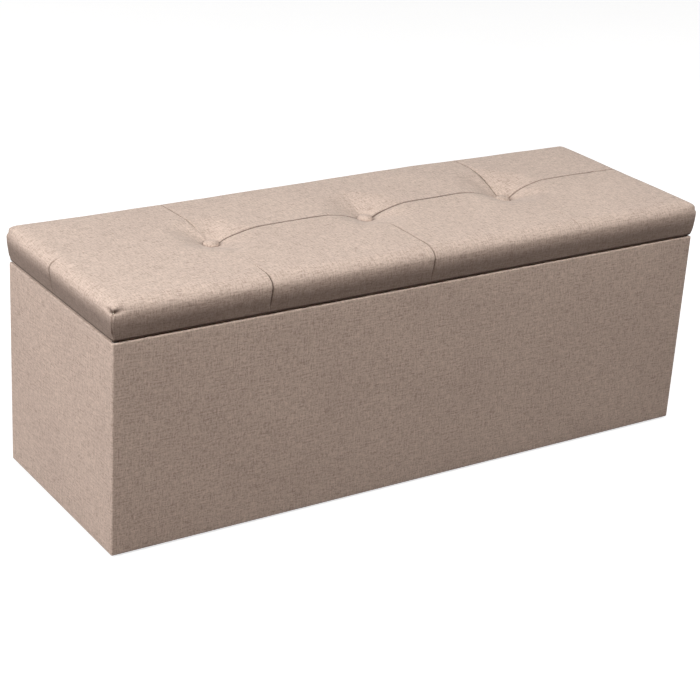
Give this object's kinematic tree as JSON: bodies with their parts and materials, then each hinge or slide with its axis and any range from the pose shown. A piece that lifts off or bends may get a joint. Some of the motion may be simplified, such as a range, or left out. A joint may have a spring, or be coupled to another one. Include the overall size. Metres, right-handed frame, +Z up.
{
  "type": "storage bench",
  "caption": "Long fabric-covered box bench with a hinged, button-tufted padded lid over one storage compartment.",
  "frame": {"origin": "on the floor, under the middle of the bench", "axes": "+X along the length (to the right seen from the front), +Y to the back (the hinge side), +Z up"},
  "size_m": [1.154, 0.39, 0.426],
  "materials": {
    "linen": "woven linen-look upholstery fabric, matt",
    "lining": "thin black non-woven cloth, matt",
    "board": "raw medium-density fibreboard",
    "plywood": "raw plywood",
    "pine": "planed pine",
    "foam": "open-cell upholstery foam",
    "zinc": "zinc-plated steel",
    "glide_plastic": "moulded polyethylene",
    "bumper": "soft rubber",
    "twine": "waxed upholstery twine"
  },
  "bodies": {
    "case": {"front_panel": "board", "back_panel": "board", "left_panel": "board", "right_panel": "board", "front_batten": "pine", "back_batten": "pine", "left_batten": "pine", "right_batten": "pine", "base_board": "plywood", "base_pins": "zinc", "batten_screws": "zinc", "wall_screws": "zinc", "glides": "glide_plastic", "glide_nails": "zinc", "front_cover": "linen", "back_cover": "linen", "left_cover": "linen", "right_cover": "linen", "front_lining": "lining", "back_lining": "lining", "left_lining": "lining", "right_lining": "lining", "floor_lining": "lining", "dust_cover": "lining", "lid_bumpers": "bumper", "left_hinge_case_leaf": "zinc", "middle_hinge_case_leaf": "zinc", "right_hinge_case_leaf": "zinc", "hinge_pins": "zinc", "case_leaf_screws": "zinc", "left_stay_wall_bracket": "zinc", "right_stay_wall_bracket": "zinc", "left_stay_wall_rivet": "zinc", "right_stay_wall_rivet": "zinc", "stay_wall_screws": "zinc"},
    "lid": {"lid_board": "board", "foam_pad": "foam", "seat_cover": "linen", "lid_lining": "lining", "hem_staples": "zinc", "twine_anchors": "zinc", "button_twines": "twine", "left_button": "linen", "middle_button": "linen", "right_button": "linen", "left_hinge_lid_leaf": "zinc", "middle_hinge_lid_leaf": "zinc", "right_hinge_lid_leaf": "zinc", "lid_leaf_screws": "zinc", "left_stay_lid_bracket": "zinc", "right_stay_lid_bracket": "zinc", "left_stay_lid_rivet": "zinc", "right_stay_lid_rivet": "zinc", "stay_lid_screws": "zinc"},
    "left_lower_arm": {"left_stay_lower_arm": "zinc", "left_stay_elbow_rivet": "zinc"},
    "left_upper_arm": {"left_stay_upper_arm": "zinc"},
    "right_lower_arm": {"right_stay_lower_arm": "zinc", "right_stay_elbow_rivet": "zinc"},
    "right_upper_arm": {"right_stay_upper_arm": "zinc"}
  },
  "joints": [
    {"name": "lid_hinge", "type": "hinge", "parent": "case", "child": "lid", "pos_m": [0, 0.1905, 0.3595], "axis": [-1, 0, 0], "range_deg": [0, 95]},
    {"name": "left_stay_wall_pivot", "type": "hinge", "parent": "case", "child": "left_lower_arm", "pos_m": [-0.55, 0.1565, 0.20315], "axis": [-1, 0, 0], "range_deg": [0, 95]},
    {"name": "left_stay_elbow", "type": "hinge", "parent": "left_lower_arm", "child": "left_upper_arm", "pos_m": [-0.548, -0.00289, 0.18915], "axis": [-1, 0, 0], "range_deg": [-95, 0]},
    {"name": "right_stay_wall_pivot", "type": "hinge", "parent": "case", "child": "right_lower_arm", "pos_m": [0.55, 0.1565, 0.20315], "axis": [-1, 0, 0], "range_deg": [0, 95]},
    {"name": "right_stay_elbow", "type": "hinge", "parent": "right_lower_arm", "child": "right_upper_arm", "pos_m": [0.548, -0.00289, 0.18915], "axis": [-1, 0, 0], "range_deg": [-95, 0]}
  ],
  "couplings": [
    {"joint": "left_stay_wall_pivot", "follows": "lid_hinge", "ratio": 1},
    {"joint": "left_stay_elbow", "follows": "lid_hinge", "ratio": -1},
    {"joint": "right_stay_wall_pivot", "follows": "lid_hinge", "ratio": 1},
    {"joint": "right_stay_elbow", "follows": "lid_hinge", "ratio": -1}
  ]
}
